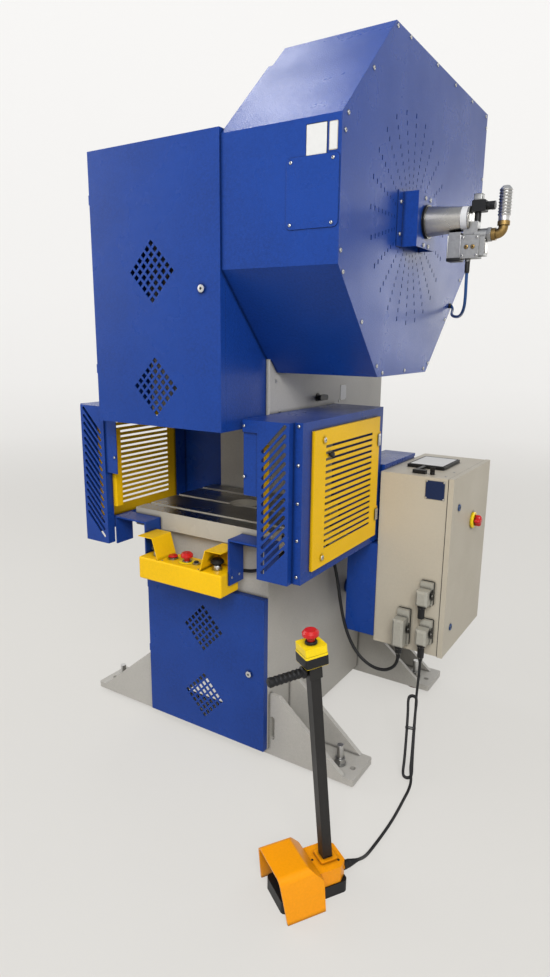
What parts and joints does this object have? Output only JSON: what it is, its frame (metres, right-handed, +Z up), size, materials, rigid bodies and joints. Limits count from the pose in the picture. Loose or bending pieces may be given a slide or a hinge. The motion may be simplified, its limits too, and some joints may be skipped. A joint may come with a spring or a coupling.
{
  "type": "mechanical stamping press",
  "caption": "C-frame mechanical stamping press with flywheel guard, slotted tool guards, two-hand console, electrical cabinet and foot pedal on a leaning post.",
  "frame": {"origin": "bottom centre of the rigid pieces' box, on the floor", "axes": "+X to the right of a person who stands at the press, +Y to the back, +Z up"},
  "size_m": [1.5936, 1.5969, 2.445],
  "materials": {
    "blue_paint": "fine texture, satin",
    "frame_grey": "satin",
    "cabinet_grey": "fine texture, satin",
    "yellow_paint": "satin",
    "machined_steel": "ground",
    "dark_steel": "oiled",
    "zinc_steel": "zinc plated",
    "cast_iron": "painted grey",
    "stainless": "turned",
    "cast_alloy": "cast",
    "brass": "plain",
    "black_plastic": "moulded",
    "red_plastic": "moulded",
    "red_rubber": "moulded",
    "black_rubber": "smooth",
    "blue_plastic": "smooth",
    "yellow_plastic": "moulded",
    "grey_plastic": "moulded",
    "pedal_orange": "gloss"
  },
  "bodies": {
    "machine": {"frame_body": "frame_grey", "levelling_pads": "red_rubber", "levelling_bolts": "zinc_steel", "bolster_plate": "machined_steel", "main_bearings": "cast_iron", "slide_gibs": "cast_iron", "motor": "frame_grey", "drive_belts": "black_rubber", "upper_cover": "blue_paint", "door_hinges": "blue_paint", "flywheel_guard": "blue_paint", "flywheel_guard_plate": "blue_paint", "inspection_cover": "blue_paint", "clutch_bracket": "blue_paint", "rotary_cylinder": "stainless", "valve_block": "cast_alloy", "valve_connector": "black_plastic", "exhaust_elbow": "brass", "exhaust_silencer": "zinc_steel", "air_hose": "blue_plastic", "light_curtains": "yellow_paint", "console_box": "yellow_paint", "button_collars": "zinc_steel", "console_brackets": "blue_paint", "console_cable": "black_rubber", "cabinet_body": "cabinet_grey", "mounting_plate": "zinc_steel", "hmi_panel": "black_plastic", "cabinet_support": "blue_paint", "connectors": "grey_plastic", "side_knob": "black_plastic", "pedal_base": "black_plastic", "pedal_hood": "pedal_orange", "pedal_post": "dark_steel", "pedal_handle": "black_rubber", "estop_box": "yellow_plastic", "pedal_cable_upper": "black_rubber", "pedal_cable_hank": "black_rubber", "pedal_cable_lower": "black_rubber", "tool_guard_right": "blue_paint", "tool_guard_left": "blue_paint"},
    "upper_door": {"upper_door": "blue_paint"},
    "lower_door": {"lower_door": "blue_paint"},
    "side_door_right": {"side_door_right": "yellow_paint"},
    "side_door_left": {"side_door_left": "yellow_paint"},
    "cabinet_door": {"cabinet_door": "cabinet_grey", "switch_base": "yellow_plastic"},
    "main_switch": {"main_switch": "red_plastic"},
    "flywheel": {"flywheel": "cast_iron"},
    "motor_pulley": {"motor_pulley": "cast_iron"},
    "crankshaft": {"crankshaft": "machined_steel"},
    "connecting_rod": {"connecting_rod": "cast_iron"},
    "slide": {"slide": "cast_iron"},
    "console_estop": {"console_estop": "red_plastic"},
    "stop_button": {"stop_button": "red_plastic"},
    "palm_button_left": {"palm_button_left": "black_plastic"},
    "palm_button_right": {"palm_button_right": "black_plastic"},
    "small_button": {"small_button": "black_plastic"},
    "pedal_treadle": {"pedal_treadle": "black_plastic"},
    "pedal_estop": {"pedal_estop": "red_plastic"}
  },
  "joints": [
    {"name": "upper_door_hinge", "type": "hinge", "parent": "machine", "child": "upper_door", "pos_m": [-0.43175, -0.43848, 1.7], "axis": [0, 0, -1], "range_deg": [0, 110]},
    {"name": "lower_door_hinge", "type": "hinge", "parent": "machine", "child": "lower_door", "pos_m": [-0.44675, -0.21198, 0.35], "axis": [0, 0, -1], "range_deg": [0, 110]},
    {"name": "side_door_right_hinge", "type": "hinge", "parent": "machine", "child": "side_door_right", "pos_m": [0.33525, 0.21752, 1.06], "axis": [0, 0, 1], "range_deg": [0, 90]},
    {"name": "side_door_left_hinge", "type": "hinge", "parent": "machine", "child": "side_door_left", "pos_m": [-0.65675, 0.21752, 1.06], "axis": [0, 0, -1], "range_deg": [0, 90]},
    {"name": "cabinet_door_hinge", "type": "hinge", "parent": "machine", "child": "cabinet_door", "pos_m": [0.61675, 0.72102, 0.73], "axis": [0, 0, 1], "range_deg": [0, 120]},
    {"name": "main_switch_turn", "type": "hinge", "parent": "cabinet_door", "child": "main_switch", "pos_m": [0.64325, 0.50352, 0.869], "axis": [1, 0, 0], "range_deg": [0, 90]},
    {"name": "flywheel_spin", "type": "hinge", "parent": "machine", "child": "flywheel", "pos_m": [-0.16075, 0.04352, 1.938], "axis": [1, 0, 0], "continuous": true},
    {"name": "motor_pulley_spin", "type": "hinge", "parent": "machine", "child": "motor_pulley", "pos_m": [-0.16075, 0.60352, 2.25], "axis": [1, 0, 0], "continuous": true},
    {"name": "crankshaft_turn", "type": "hinge", "parent": "machine", "child": "crankshaft", "pos_m": [-0.16075, 0.04352, 1.938], "axis": [1, 0, 0], "continuous": true},
    {"name": "connecting_rod_pivot", "type": "hinge", "parent": "crankshaft", "child": "connecting_rod", "pos_m": [-0.16075, 0.04352, 1.968], "axis": [1, 0, 0], "continuous": true},
    {"name": "slide_stroke", "type": "slide", "parent": "machine", "child": "slide", "axis": [0, 0, 1], "range_m": [-0.06, 0]},
    {"name": "palm_button_left_press", "type": "slide", "parent": "machine", "child": "palm_button_left", "axis": [0, 0, 1], "range_m": [-0.006, 0], "stiffness_N_per_m": 2000, "springref_m": 0.003},
    {"name": "palm_button_right_press", "type": "slide", "parent": "machine", "child": "palm_button_right", "axis": [0, 0, 1], "range_m": [-0.006, 0], "stiffness_N_per_m": 2000, "springref_m": 0.003},
    {"name": "stop_button_press", "type": "slide", "parent": "machine", "child": "stop_button", "axis": [0, 0, 1], "range_m": [-0.003, 0], "stiffness_N_per_m": 2000, "springref_m": 0.003},
    {"name": "small_button_press", "type": "slide", "parent": "machine", "child": "small_button", "axis": [0, 0, 1], "range_m": [-0.002, 0], "stiffness_N_per_m": 2000, "springref_m": 0.003},
    {"name": "console_estop_press", "type": "slide", "parent": "machine", "child": "console_estop", "axis": [0, 0, 1], "range_m": [-0.005, 0]},
    {"name": "pedal_treadle_hinge", "type": "hinge", "parent": "machine", "child": "pedal_treadle", "pos_m": [0.54345, -0.65841, 0.064], "axis": [0.8387, -0.5446, 0], "range_deg": [0, 7], "stiffness_Nm_per_rad": 8, "springref_deg": -6.88},
    {"name": "pedal_estop_press", "type": "slide", "parent": "machine", "child": "pedal_estop", "axis": [-0.0509, -0.0783, 0.9956], "range_m": [-0.005, 0]}
  ],
  "couplings": [
    {"joint": "motor_pulley_spin", "follows": "flywheel_spin", "ratio": 5.6277},
    {"joint": "connecting_rod_pivot", "follows": "crankshaft_turn", "ratio": -1}
  ]
}
